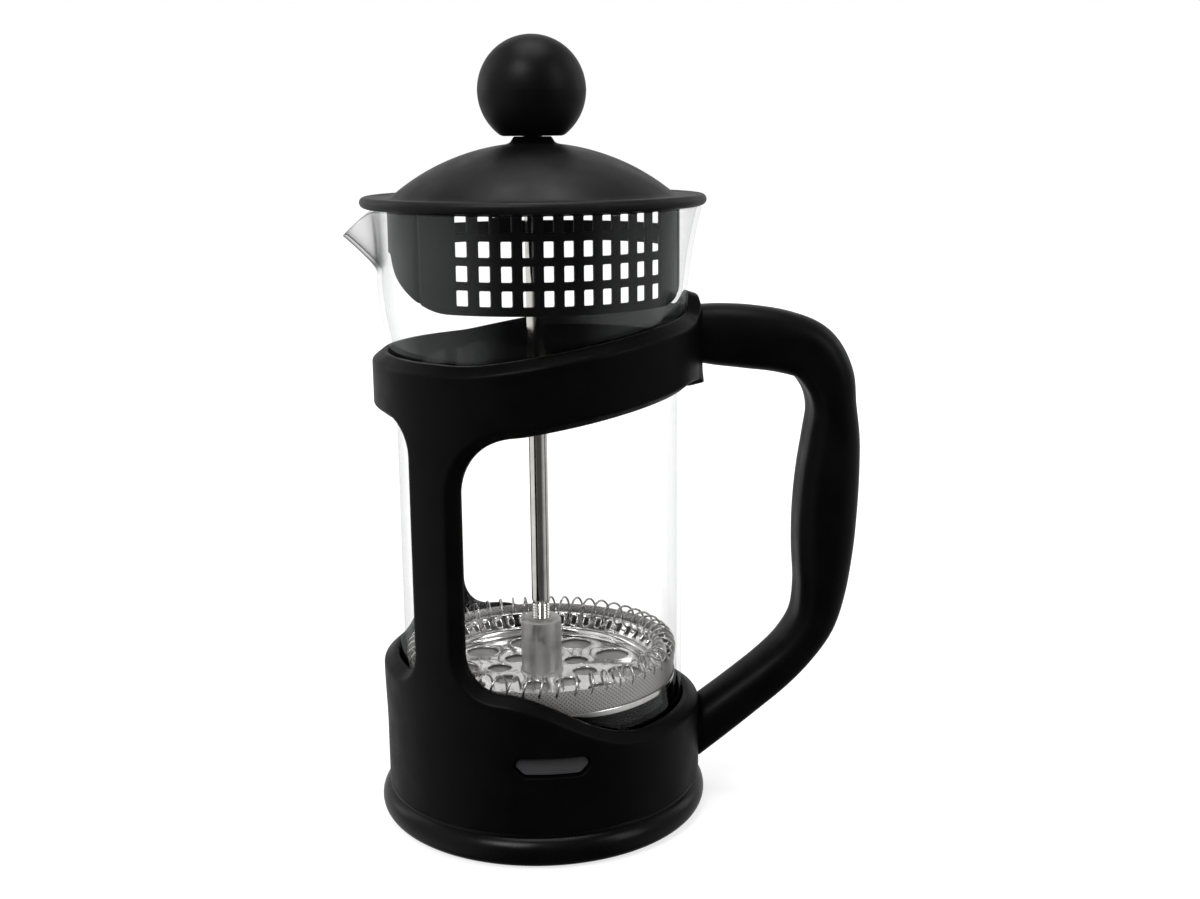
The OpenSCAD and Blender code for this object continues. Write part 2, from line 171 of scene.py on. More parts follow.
def sheet(name, loops, layers, place, cuts=(), seam=None, scale=None, sharp=40):
    """A flat plate with holes, given edges by layers of (depth, inset), cut into strips and put in place.

    loops[0] is the outline, counter-clockwise, and the others are holes, clockwise. A layer is a copy
    of every loop at one depth, moved into the material by its inset. The first and last are filled.
    """
    least_mitre = 0.6       # keeps the inset of sharp corners short
    bm = bmesh.new()
    stacks = []
    for number, loop in enumerate(loops):
        n = len(loop)
        inward = []
        for i in range(n):
            a, b, c = (Vector(loop[(i + k) % n]) for k in (-1, 0, 1))
            e1, e2 = (b - a), (c - b)
            e1 = e1.normalized() if e1.length > TINY else e2.normalized()
            e2 = e2.normalized() if e2.length > TINY else e1
            v = Vector((-e1.y - e2.y, e1.x + e2.x))
            v = v.normalized() if v.length > TINY else Vector((-e1.y, e1.x))
            v /= max(least_mitre, v.dot(Vector((-e1.y, e1.x))))
            if seam and any(abs(b.x - edge) < ON_SEAM for edge in seam):
                middle = (min(p[1] for p in loop) + max(p[1] for p in loop)) / 2
                v = Vector((0, 1 if b.y < middle else -1))
            inward.append(v * (scale(number, b) if scale else 1.0))
        stack = []
        for depth, inset in layers:
            stack.append([bm.verts.new((p[0] + v.x * inset, depth, p[1] + v.y * inset))
                          for p, v in zip(loop, inward)])
        for lower, upper in zip(stack, stack[1:]):
            for i in range(n):
                j = (i + 1) % n
                ends = (loop[i][0], loop[j][0])
                if seam and any(all(abs(end - edge) < ON_SEAM for end in ends) for edge in seam):
                    continue
                bm.faces.new((lower[i], lower[j], upper[j], upper[i]))
        stacks.append(stack)
    for level in (0, -1):
        verts = [v for stack in stacks for v in stack[level]]
        polygons = [[Vector((v.co.x, v.co.z, 0)) for v in stack[level]] for stack in stacks]
        for tri in tessellate_polygon(polygons):
            if len(set(tri)) == 3:
                try:
                    bm.faces.new([verts[i] for i in tri])
                except ValueError:
                    pass
    for axis, value in cuts:
        normal = Vector((1, 0, 0)) if axis == "u" else Vector((0, 0, 1))
        bmesh.ops.bisect_plane(bm, geom=bm.verts[:] + bm.edges[:] + bm.faces[:], dist=1e-5,
                               plane_co=normal * value, plane_no=normal)
    for v in bm.verts:
        v.co = Vector(place(v.co.x, v.co.y, v.co.z))
    return finish_mesh(bm, name, sharp)


def tube(name, points, radius, sides=8, closed=False):
    """A round wire along points, in millimetres."""
    curve = bpy.data.curves.new(name, "CURVE")
    curve.dimensions = "3D"
    spline = curve.splines.new("POLY")
    spline.points.add(len(points) - 1)
    for sp, p in zip(spline.points, points):
        sp.co = (p[0] * MM, p[1] * MM, p[2] * MM, 1)
    spline.use_cyclic_u = closed
    curve.bevel_depth = radius * MM
    curve.bevel_resolution = max(0, sides // 2 - 2)
    curve.use_fill_caps = True
    temp = bpy.data.objects.new(name + "_curve", curve)
    bpy.context.scene.collection.objects.link(temp)
    mesh = bpy.data.meshes.new_from_object(temp)
    bpy.data.objects.remove(temp)
    mesh.name = name
    mesh.shade_smooth()
    obj = bpy.data.objects.new(name, mesh)
    bpy.context.scene.collection.objects.link(obj)
    return obj


def put(obj, material, body, slot, *nodes):
    obj.data.materials.clear()
    obj.data.materials.append(material)
    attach(obj, body)
    if nodes:
        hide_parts(*nodes)
    return obj


# ---------------------------------------------------------------- materials
def new_material(name):
    material = bpy.data.materials.new(name)
    material.use_nodes = True
    return material, material.node_tree, material.node_tree.nodes["Principled BSDF"]


def add(tree, kind, **values):
    node = tree.nodes.new(kind)
    for key, value in values.items():
        if key in node.inputs:
            node.inputs[key].default_value = value
        else:
            setattr(node, key, value)
    return node


def noise(tree, scale, detail=2.0, stretch=None):
    """Noise in object space; stretch squeezes it along the axes."""
    coords = add(tree, "ShaderNodeTexCoord").outputs["Object"]
    if stretch:
        mapping = add(tree, "ShaderNodeMapping")
        mapping.inputs["Scale"].default_value = stretch
        tree.links.new(coords, mapping.inputs["Vector"])
        coords = mapping.outputs["Vector"]
    node = add(tree, "ShaderNodeTexNoise", Scale=scale, Detail=detail)
    tree.links.new(coords, node.inputs["Vector"])
    return node.outputs["Fac"]


def spread(tree, value, low, high, from_low=0.3, from_high=0.7):
    node = add(tree, "ShaderNodeMapRange")
    node.inputs["From Min"].default_value = from_low
    node.inputs["From Max"].default_value = from_high
    node.inputs["To Min"].default_value = low
    node.inputs["To Max"].default_value = high
    tree.links.new(value, node.inputs["Value"])
    return node.outputs["Result"]


def tint(tree, value, dark, light):
    ramp = add(tree, "ShaderNodeValToRGB")
    ramp.color_ramp.elements[0].position = 0.3
    ramp.color_ramp.elements[1].position = 0.7
    ramp.color_ramp.elements[0].color = (*dark, 1)
    ramp.color_ramp.elements[1].color = (*light, 1)
    tree.links.new(value, ramp.inputs["Fac"])
    return ramp.outputs["Color"]


def bump(tree, shader, heights):
    """Chains bumps of (height socket, depth in mm)."""
    normal = None
    for height, depth in heights:
        node = add(tree, "ShaderNodeBump", Strength=1.0, Distance=depth * MM)
        tree.links.new(height, node.inputs["Height"])
        if normal:
            tree.links.new(normal, node.inputs["Normal"])
        normal = node.outputs["Normal"]
    tree.links.new(normal, shader.inputs["Normal"])


def plastic(name, dark, light, rough, level, grain, depth):
    """Moulded plastic: fine grain, slow ripples from the mould, uneven sheen."""
    material, tree, shader = new_material(name)
    cool = 1.06             # a trace more blue than red and green
    low, high = [(grey, grey, grey * cool) for grey in (dark, light)]
    tree.links.new(tint(tree, noise(tree, 90, 3), low, high), shader.inputs["Base Color"])
    sheen = spread(tree, noise(tree, 160, 4), rough - 0.05, rough + 0.06)
    tree.links.new(sheen, shader.inputs["Roughness"])
    shader.inputs["Specular IOR Level"].default_value = level
    bump(tree, shader, [(noise(tree, 130, 1), 0.03), (noise(tree, 1000 / grain, 2), depth)])
    return material


def metal(name, dark, light, rough, stretch=None, lines=0.0, ripple=0.0):
    """Steel: base tint, uneven polish, fine tool or drawing lines."""
    material, tree, shader = new_material(name)
    shader.inputs["Metallic"].default_value = 1.0
    tree.links.new(tint(tree, noise(tree, 220, 3), dark, light), shader.inputs["Base Color"])
    tree.links.new(spread(tree, noise(tree, 420, 4), rough * 0.7, rough * 1.4), shader.inputs["Roughness"])
    heights = []
    if ripple:
        heights.append((noise(tree, 60, 1), ripple))
    if lines:
        heights.append((noise(tree, 900, 3, stretch), lines))
    if heights:
        bump(tree, shader, heights)
    return material


def ramp_of(tree, value, stops):
    """Grey levels along a value, as (position, level) stops."""
    ramp = add(tree, "ShaderNodeValToRGB")
    elements = ramp.color_ramp.elements
    while len(elements) < len(stops):
        elements.new(0.5)
    for element, (position, level) in zip(elements, stops):
        element.position = position
        element.color = (level, level, level, 1)
    tree.links.new(value, ramp.inputs["Fac"])
    return ramp.outputs["Color"]


def glass_material():
    """Thin clear glass: light goes straight through and a little is mirrored; painted shade greys its edges
    and makes the lip's edges darker.
    """
    lip_x = (-0.0372, -0.0350)      # metres, over which the lip's deeper painted shade fades in
    lip_z = (0.1355, 0.1375)
    material, tree, shader = new_material("clear_glass")
    tree.nodes.remove(shader)
    facing = add(tree, "ShaderNodeLayerWeight", Blend=0.5).outputs["Facing"]
    clear = add(tree, "ShaderNodeBsdfTransparent")
    gloss = add(tree, "ShaderNodeBsdfGlossy")
    gloss.inputs["Color"].default_value = (0.92, 0.94, 0.94, 1)
    blend = add(tree, "ShaderNodeMixShader")
    split = add(tree, "ShaderNodeSeparateXYZ")
    tree.links.new(add(tree, "ShaderNodeTexCoord").outputs["Object"], split.inputs[0])
    # Mask for the lip's deeper painted shade
    lip_painted_shade_mask = add(tree, "ShaderNodeMath", operation="MULTIPLY")
    tree.links.new(spread(tree, split.outputs[0], 1.0, 0.0, *lip_x), lip_painted_shade_mask.inputs[0])
    tree.links.new(spread(tree, split.outputs[2], 0.0, 1.0, *lip_z), lip_painted_shade_mask.inputs[1])
    colour = add(tree, "ShaderNodeMix", data_type="RGBA")
    # A colour mix has its factor at input 0, its colours at 6 and 7, and its result at output 2
    tree.links.new(lip_painted_shade_mask.outputs[0], colour.inputs[0])
    # Painted shade: the see-through colour greys where the wall is seen edge-on, and along the lip it darkens
    # almost to black
    wall = ramp_of(tree, facing, [(0.0, 0.996), (0.50, 0.992), (0.66, 0.955), (0.9, 0.94), (1.0, 0.82)])
    tree.links.new(wall, colour.inputs[6])
    lip = ramp_of(tree, facing, [(0.0, 0.97), (0.4, 0.93), (0.62, 0.70), (0.8, 0.25), (1.0, 0.02)])
    tree.links.new(lip, colour.inputs[7])
    tree.links.new(colour.outputs[2], clear.inputs["Color"])
    mirror = ramp_of(tree, facing, [(0.0, 0.012), (0.4, 0.026), (0.8, 0.09), (1.0, 0.12)])
    tree.links.new(mirror, blend.inputs[0])
    tree.links.new(spread(tree, noise(tree, 35, 2), 0.02, 0.07), gloss.inputs["Roughness"])
    bump(tree, gloss, [(noise(tree, 22, 1), 0.05)])
    tree.links.new(clear.outputs[0], blend.inputs[1])
    tree.links.new(gloss.outputs[0], blend.inputs[2])
    tree.links.new(blend.outputs[0], tree.nodes["Material Output"].inputs["Surface"])
    return material


def weave_material():
    """Woven wire, from a UV map in millimetres: over-and-under wires, with painted shade in the gaps between
    them and painted highlights on their crowns.
    """
    material, tree, shader = new_material("woven_screen")
    shader.inputs["Metallic"].default_value = 0.55
    turned = add(tree, "ShaderNodeMapping")
    turned.inputs["Rotation"].default_value = (0, 0, math.radians(40))
    tree.links.new(add(tree, "ShaderNodeTexCoord").outputs["UV"], turned.inputs["Vector"])
    split = add(tree, "ShaderNodeSeparateXYZ")
    tree.links.new(turned.outputs["Vector"], split.inputs[0])
    pitch = 0.75            # millimetres from wire to wire
    crossing = 0.35         # how much a wire rises where it passes over another

    def math_node(kind, a, b=None):
        node = add(tree, "ShaderNodeMath", operation=kind)
        for socket, value in zip(node.inputs, (a, b)):
            if value is None:
                continue
            if isinstance(value, (int, float)):
                socket.default_value = value
            else:
                tree.links.new(value, socket)
        return node.outputs[0]

    def wires(across, along):
        """Height of one family of wires: round across, and waving along."""
        line = math_node("ABSOLUTE", math_node("SINE", math_node("MULTIPLY", across, PI / pitch)))
        wave = math_node("SINE", math_node("MULTIPLY", along, PI / pitch))
        over = math_node("COSINE", math_node("MULTIPLY", across, PI / pitch))
        lift = math_node("MULTIPLY", wave, over)
        return math_node("ADD", line, math_node("MULTIPLY", lift, crossing))

    u, v = split.outputs[0], split.outputs[1]
    height = math_node("MAXIMUM", wires(u, v), wires(v, u))
    # Painted shade and highlight: the colour is nearly black low down between the wires and pale on their
    # crowns
    wire_painted_shade = tint(tree, height, (0.012, 0.012, 0.012), (0.38, 0.37, 0.36))
    tree.links.new(wire_painted_shade, shader.inputs["Base Color"])
    tree.links.new(spread(tree, noise(tree, 300, 3), 0.28, 0.45), shader.inputs["Roughness"])
    bump(tree, shader, [(height, 0.06)])
    return material


# Plastics: dark and light shade, roughness, specular level, grain size in mm, grain depth in mm
BLACK = plastic("frame_black", 0.0008, 0.0016, 0.40, 0.045, 0.28, 0.003)
HANDLE = plastic("handle_black", 0.0008, 0.0018, 0.38, 0.060, 0.30, 0.008)
FOOT = plastic("foot_black", 0.0007, 0.0014, 0.26, 0.10, 0.35, 0.002)
CLIP = plastic("clip_grey", 0.024, 0.034, 0.42, 0.20, 0.35, 0.002)
KNOB = plastic("knob_black", 0.0012, 0.0026, 0.42, 0.085, 0.25, 0.010)
LID = plastic("lid_charcoal", 0.0020, 0.0054, 0.42, 0.11, 0.30, 0.035)
STRAINER = plastic("strainer_black", 0.0012, 0.0022, 0.40, 0.06, 0.40, 0.003)
GLASS = glass_material()
POLISHED = metal("polished_rod", (0.62, 0.60, 0.56), (0.76, 0.74, 0.70), 0.09, (1, 1, 0.03), 0.002)
SATIN = metal("satin_hub", (0.44, 0.43, 0.42), (0.54, 0.53, 0.52), 0.46, (0.05, 0.05, 1), 0.002)
PRESSED = metal("pressed_plate", (0.70, 0.69, 0.68), (0.82, 0.81, 0.80), 0.13, None, 0.0, 0.03)
WIRE = metal("spring_wire", (0.36, 0.35, 0.34), (0.52, 0.51, 0.50), 0.26)
ZINC = metal("zinc_screw", (0.48, 0.49, 0.50), (0.62, 0.63, 0.64), 0.30)
BRASS = metal("turned_brass", (0.58, 0.42, 0.17), (0.72, 0.55, 0.27), 0.25, (0.05, 0.05, 1), 0.004)
WEAVE = weave_material()


# ---------------------------------------------------------------- frame
def glass_r(z):
    t = max(0.0, (z - FLARE_Z) / (RIM_Z - FLARE_Z))
    return GLASS_R + FLARE_OUT * (0.66 * t + 0.34 * t ** 4)


FRAME_REF = FRAME_IN    # unrolled lengths are measured at this radius
SEAM_DEG = -133.7       # the unrolled frame starts in the middle of a column
HANDLE_WINDOW_DEG = 122.2
SPOUT_WINDOW_DEG = (145.1, 214.9)
BAND_SLOPE = 0.172      # of the band's lower edge, against x
SLOT_R = 38.6           # the slots' widths are measured at this radius


def arc_mm(degrees):
    return math.radians(degrees) * FRAME_REF


def frame_x(s):
    return FRAME_REF * math.cos(s / FRAME_REF)


def near_handle(s, flat, fade):
    """1 within flat mm of the handle's middle line, falling to 0 over fade mm."""
    return 1 - smooth((abs(s) - flat) / fade)


def band_top(s):
    """Level on the spout's side, then rising towards the handle, with a rounded ear over it."""
    beyond = frame_x(s) + 16
    rise = (beyond + math.sqrt(beyond ** 2 + 6)) / 2
    ear = 129.8 - 0.028 * s * s
    return mix(117.1 + 0.168 * rise, ear, near_handle(s, 3.2, 7.0))


def band_low(s):
    pad = 106.9 + 0.012 * s * s
    return mix(102.6 + BAND_SLOPE * frame_x(s), pad, near_handle(s, 5.6, 2.4))


def base_top(s):
    t = clamp((frame_x(s) + 12) / 34.5)
    return mix(29.3, 41.6, 0.5 + 0.5 * math.cos(PI * t))


def rounded_box(s0, s1, z0, z1, r):
    """Clockwise outline of a hole with round corners."""
    return (arc(s0 + r, z0 + r, r, 270, 180) + arc(s0 + r, z1 - r, r, 180, 90)
            + arc(s1 - r, z1 - r, r, 90, 0) + arc(s1 - r, z0 + r, r, 0, -90))


def samples(s0, s1, step=0.8):
    n = max(1, int(round(abs(s1 - s0) / step)))
    return [mix(s0, s1, i / n) for i in range(n + 1)]


def handle_window():
    edge = arc_mm(HANDLE_WINDOW_DEG)
    big, small = 14.0, 9.0
    slope = math.degrees(math.atan(BAND_SLOPE * math.sin(edge / FRAME_REF)))
    out = []
    # Left column edge upwards, then along the band to the right, and back along the base
    out += [(-edge, z) for z in (53.0, 70.0)]
    z_top = band_low(-edge + big) - big
    out += arc(-edge + big, z_top, big, 180, 90 + slope, 14)
    out += [(s, band_low(s)) for s in samples(-edge + big + 1, edge - big - 1)]
    out += arc(edge - big, z_top, big, 90 - slope, 0, 14)
    out += [(edge, z) for z in (70.0, 53.0)]
    out += arc(edge - small, base_top(edge - small) + small, small, 0, -90, 10)
    out += [(s, base_top(s)) for s in samples(edge - small - 1, -edge + small + 1)]
    out += arc(-edge + small, base_top(edge - small) + small, small, 270, 180, 10)
    return dense(out, 1.5)


def slot_outline(middle_deg):
    """A slot that is wider at its top, with round corners."""
    c = arc_mm(middle_deg)
    k = FRAME_REF / SLOT_R
    top, low, z0, z1 = 8.7 * k, 5.6 * k, 22.7, 26.7
    out = (arc(c - low, z0 + 2.4, 2.4, 270, 216, 6) + arc(c - top + 1.5, z1 - 1.5, 1.5, 200, 90, 7)
           + arc(c + top - 1.5, z1 - 1.5, 1.5, 90, -20, 7) + arc(c + low, z0 + 2.4, 2.4, -36, -90, 6))
    return dense(out, 0.8)


def frame_place(s, depth, z):
    outer = (depth - FRAME_IN) / (FRAME_OUT - FRAME_IN)
    # The pad swells out towards its lower end, and the ear's top is rounded off
    swell = 0.9 + 0.5 * smooth((112 - z) / 6) - 1.2 * smooth((z - 124) / 6.5)
    pad = near_handle(s, 4.2, 5.0) * smooth((z - 105.0) / 2.0) * swell
    low = near_handle(s, 8.0, 9.0) * (1 - smooth((z - 34.0) / 6))
    wide = 0.35 * smooth((z - 24.0) / 14.0)
    depth += outer * (pad + 0.6 * low + wide)
    # The inside gives way to the widening glass
    if z > FLARE_Z:
        clear = glass_r(z) + 0.42
        depth = max(depth, mix(clear, depth, clamp(outer)))
    a = s / FRAME_REF
    return depth * math.cos(a), depth * math.sin(a), z


def frame_scale(number, p):
    """Share of the full chamfer: small at the slots and the foot, less round the handle's pad."""
    if number >= 3:
        return 0.22
    if number <= 1 and p[1] > 100:
        return mix(1.0, 0.42, near_handle(p[0], 8.0, 6.0))
    if number == 0 and p[1] < 20:
        return 0.3
    return 1.0


def build_frame():
    s0 = arc_mm(SEAM_DEG)
    s1 = s0 + arc_mm(360)
    outline = [(s, 7.7) for s in samples(s0, s1, 3.0)]
    outline += [(s1, z) for z in (30.0, 60.0, 90.0)]
    outline += [(s, band_top(s)) for s in samples(s1, s0, 0.6)]
    outline += [(s0, z) for z in (90.0, 60.0, 30.0)]
    spout = dense(rounded_box(*map(arc_mm, SPOUT_WINDOW_DEG), 41.6, 102.6, 7.0), 1.2)
    loops = [outline, handle_window(), spout, slot_outline(-90), slot_outline(90)]
    layers = [(FRAME_IN, 0.6), (FRAME_IN, 0.15), (35.72, 0.0), (36.5, 0.0), (36.8, 0.1), (37.1, 0.36),
              (38.6, 1.66), (38.85, 1.96), (38.98, 2.3), (FRAME_OUT, 2.8)]
    cuts = [("u", s0 + arc_mm(3.0 * k)) for k in range(1, 120)]
    cuts += [("u", -10.0 + 0.8 * k) for k in range(26)]
    cuts += [("v", z) for z in (12, 18, 24, 27, 30, 33, 36, 42, 60, 80, 96, 102, 105, 106, 107, 108, 109,
                                110, 111, 112, 114, 117, 118, 120, 122, 124, 126, 128)]
    return sheet("cage", loops, layers, frame_place, cuts, (s0, s1), frame_scale, 50)


put(build_frame(), BLACK, "frame", "frame_plastic", "frame_shell")


# ---------------------------------------------------------------- foot
def build_foot():
    bulge = arc(37.05, 3.9, 3.9, -90, 62, 18)
    profile = [(0, 0.0), (13, 0.0), (13.6, 0.3), (14.4, 1.5), (33.2, 1.5), (33.8, 0.4), (34.4, 0.0)]
    profile += bulge
    profile += [(38.95, 7.75), (38.9, 8.3), (38.65, 8.55), (38.45, 8.4), (38.4, 7.4), (35.0, 7.4),
                (34.8, 6.6), (34.4, FLOOR_Z), (0, FLOOR_Z)]
    return lathe("foot_ring", profile, 224, sharp=50)


def clip_place(side, lean=0.0):
    """Bends a clip round the foot; lean pushes the lower part of its face outwards."""
    def place(s, depth, z):
        a = side * PI / 2 + s / 36.5
        depth += lean * clamp((depth - 36.5) / 0.9) * (26.6 - z)
        return depth * math.cos(a), depth * math.sin(a), z
    return place


def hook_outline():
    """The slot's outline, a little smaller."""
    return (arc(-5.4, 25.05, 2.2, 270, 216, 6)[::-1] + arc(5.4, 25.05, 2.2, -36, -90, 6)[::-1]
            + arc(6.9, 25.1, 1.4, -20, 90, 7) + arc(-6.9, 25.1, 1.4, 90, 200, 7))


TONGUE = [(-6.8, 6.0), (6.8, 6.0), (6.8, 27.0), (6.0, 27.8), (-6.0, 27.8), (-6.8, 27.0)]
HOOK_LEAN = 0.22

put(build_foot(), FOOT, "frame", "foot_plastic", "foot_base")
for side, name in ((-1, "clip_near"), (1, "clip_far")):
    tongue = sheet(name, [dense(TONGUE, 2)], [(35.72, 0.2), (35.9, 0.0), (36.5, 0.0), (36.72, 0.2)],
                   clip_place(side))
    put(tongue, FOOT, "frame", "foot_plastic")
    hook = sheet(name + "_hook", [dense(hook_outline(), 0.8)],
                 [(36.5, 0.0), (37.2, 0.0), (37.45, 0.12), (37.55, 0.4)], clip_place(side, HOOK_LEAN))
    put(hook, CLIP, "frame", "foot_plastic")


# ---------------------------------------------------------------- handle
# x, z, thickness, width share of the handle's middle line
HANDLE_LINE = [
    (38.6, 119.2, 14.0, 0.0), (41, 119.2, 14.5, 0.0), (45, 118.9, 15.2, 0.03), (52, 118.2, 15.6, 0.2),
    (60.5, 116.8, 15.3, 0.4), (67.4, 114.0, 14.7, 0.7), (71.6, 108.0, 13.3, 0.9), (73.1, 100.8, 11.8, 1),
    (73.2, 93, 13.8, 1), (72.6, 84, 15.4, 1), (72.0, 74, 15.9, 1), (71.6, 64, 15.1, 1),
    (71.1, 54, 12.9, 0.9), (69.3, 45.7, 11.4, 0.7), (65.0, 38.9, 11.0, 0.5), (58.8, 32.6, 11.4, 0.3),
    (50.4, 25.9, 11.8, 0.1),
    (43.4, 20.6, 12.2, 0), (36.5, 15.5, 12.4, 0)]


def catmull(points, per):
    """A smooth line through the points, in per steps from one to the next."""
    out = []
    n = len(points)
    for i in range(n - 1):
        p = [points[max(i - 1, 0)], points[i], points[i + 1], points[min(i + 2, n - 1)]]
        for k in range(per + (1 if i == n - 2 else 0)):
            t = k / per
            out.append(tuple(0.5 * (2 * b + (c - a) * t + (2 * a - 5 * b + 4 * c - d) * t * t
                                    + (3 * b - a - 3 * c + d) * t ** 3)
                             for a, b, c, d in zip(*p)))
    return out


def spow(v, e):
    """A power that keeps the sign."""
    return math.copysign(abs(v) ** e, v)


def build_handle():
    path = catmull(HANDLE_LINE, 10)
    sides = 56
    oval, boxy = 2.35, 2.9      # exponents of the section's round and flat sides
    slim = 0.997                # keeps the bow inside the CAD model's box
    bm = bmesh.new()
    rings = []
    n = len(path)
    for i, (x, z, thick, share) in enumerate(path):
        a, b = path[max(i - 1, 0)], path[min(i + 1, n - 1)]
        t = Vector((b[0] - a[0], b[1] - a[1])).normalized()
        normal = Vector((-t.y, t.x))      # towards the outside of the bow
        grip = smooth((share - 0.35) / 0.5)
        half_w = mix(14.6, 17.0, share) / 2
        ring = []
        for k in range(sides):
            q = TAU * k / sides
            c, s = math.cos(q), math.sin(q)
            inner = c < 0
            e = 2 / mix(oval, boxy, grip) if inner else 2 / oval
            out = thick / 2 * slim * spow(c, e)
            y = half_w * spow(s, 2 / oval)
            if inner:
                # The grip's inner face is flattened, with a soft ridge along each side
                ridge = math.exp(-((abs(y) / half_w - 0.62) / 0.13) ** 2)
                out += grip * (0.35 * (1 - smooth(abs(y) / half_w / 0.55)) - 0.28 * ridge)
            ring.append(bm.verts.new((x + normal.x * out, y, z + normal.y * out)))
        rings.append(ring)
    for a, b in zip(rings, rings[1:]):
        join(bm, a, b)
    bm.faces.new(rings[0][::-1])
    bm.faces.new(rings[-1])
    return finish_mesh(bm, "grip", 60)


put(build_handle(), HANDLE, "frame", "handle_plastic", "handle")


# ---------------------------------------------------------------- glass
def lip_shift(angle, z):
    """How far the pouring lip moves the wall outwards and down at this angle and height."""
    t = clamp((z - LIP_Z) / (RIM_Z - LIP_Z))
    half = math.radians(8 + 13 * t)
    w = clamp(1 - abs(angle) / half)
    w = w * w * (3 - 2 * w) * (0.55 + 0.45 * w)
    swell = 0.9 * smooth((z - 114.0) / 13.0) * (1 - smooth((z - 131.0) / 9.0))
    swell *= smooth(1.25 - abs(angle) / math.radians(60))
    return 5.4 * t * w + swell, -6.0 * t * w


def build_glass():
    corner = 7.0
    bead = 0.6              # radius of the rounded rim
    bead_z = RIM_Z - bead
    outer = [(0.0, FLOOR_Z), (20.0, FLOOR_Z)] + arc(GLASS_R - corner, FLOOR_Z + corner, corner, -90, 0, 12)
    outer += [(GLASS_R, z) for z in (30.0, 60.0, 90.0, 110.0)]
    steps = 40
    for i in range(steps):
        z = mix(FLARE_Z, bead_z, i / (steps - 1))
        outer.append((glass_r(z), z))
    inner = [(r - GLASS_T, z) for r, z in outer[::-1] if z > FLOOR_Z + corner]
    inner += arc(GLASS_R - corner, FLOOR_Z + corner, corner - GLASS_T, 0, -90, 12)
    inner += [(20.0, FLOOR_Z + GLASS_T), (0.0, FLOOR_Z + GLASS_T)]
    bead_r = glass_r(bead_z) - bead
    rim = [(bead_r + bead * math.cos(a), bead_z + bead * math.sin(a)) for a in (0.5, 1.05, 1.57, 2.1, 2.64)]
    bm = bmesh.new()
    segments = 288
    rings = []
    for r, z in outer + rim + inner:
        circle = ring(bm, r, z, segments)
        if len(circle) > 1:
            for k, vert in enumerate(circle):
                a = TAU * k / segments
                out, up = lip_shift(a - PI, z)
                vert.co = ((r + out) * math.cos(a), (r + out) * math.sin(a), z + up)
        rings.append(circle)
    for a, b in zip(rings, rings[1:]):
        join(bm, a, b)
    return finish_mesh(bm, "glass_beaker", 180)


put(build_glass(), GLASS, "beaker", "beaker_glass", "beaker")


# ---------------------------------------------------------------- lid
def build_lid():
    centre = DOME_TOP - DOME_R
    under_r = DOME_R - DOME_WALL
    profile = [(2.33, 157.0), (2.33, 166.55), (2.5, 166.65), (4.3, 166.65), (4.55, 166.45), (5.3, 165.35),
               (5.8, 165.08)]
    for i in range(31):
        r = mix(6.4, 33.6, i / 30)
        profile.append((r, centre + math.sqrt(DOME_R ** 2 - r * r)))
    profile += [(34.2, 152.86), (34.9, 152.78), (37.6, 152.86), (39.0, 152.95), (39.5, 153.12)]
    profile += arc(39.65, 151.9, 1.3, 90, -75, 12)
    profile += [(39.6, 150.5), (39.0, 150.42), (34.72, 150.42), (34.72, 151.45), (33.1, 151.45),
                (33.1, 150.5)]
    for i in range(25):
        r = mix(32.9, 5.4, i / 24)
        profile.append((r, centre + math.sqrt(under_r ** 2 - r * r)))
    profile += [(4.7, 162.6), (4.6, 162.0), (4.5, 157.2), (4.3, 157.0)]
    return lathe("dome", profile, 224, closed=True, sharp=42)


put(build_lid(), LID, "lid", "lid_plastic", "lid_dome")


# ---------------------------------------------------------------- strainer
DEEP_DEG = 83.8         # the deep side reaches this far either way
DEEP_Z = 128.2
DEEP_CORNER = 9.4
GROOVE_DEG = 62.0


def skirt_low(alpha):
    """Height of the skirt's lower edge, at an angle from the middle of the deep side."""
    u = SKIRT_R * math.sin(min(abs(alpha), PI / 2))
    if abs(alpha) < math.radians(DEEP_DEG):
        over = max(0.0, u - 25.0)
        return DEEP_Z + DEEP_CORNER - math.sqrt(max(0.0, DEEP_CORNER ** 2 - over * over))
    return mix(137.3, 140.2, smooth((math.degrees(abs(alpha)) - DEEP_DEG) / 5))


def strainer_place(s, depth, z):
    alpha = s / SKIRT_R
    groove = clamp(1.6 - abs(abs(math.degrees(alpha)) - GROOVE_DEG) / 0.8) * clamp((152.0 - z) / 2)
    depth -= 0.4 * min(1.0, groove) * smooth((depth - 33.4) / 1.0)
    pull = math.asin(clamp(SKIRT_R * math.sin(alpha) / depth, -1, 1)) if abs(alpha) < 1.2 else alpha
    a = PANEL_AZ + mix(pull, alpha, smooth((math.degrees(abs(alpha)) - 45) / 15))
    return depth * math.cos(a), depth * math.sin(a), z


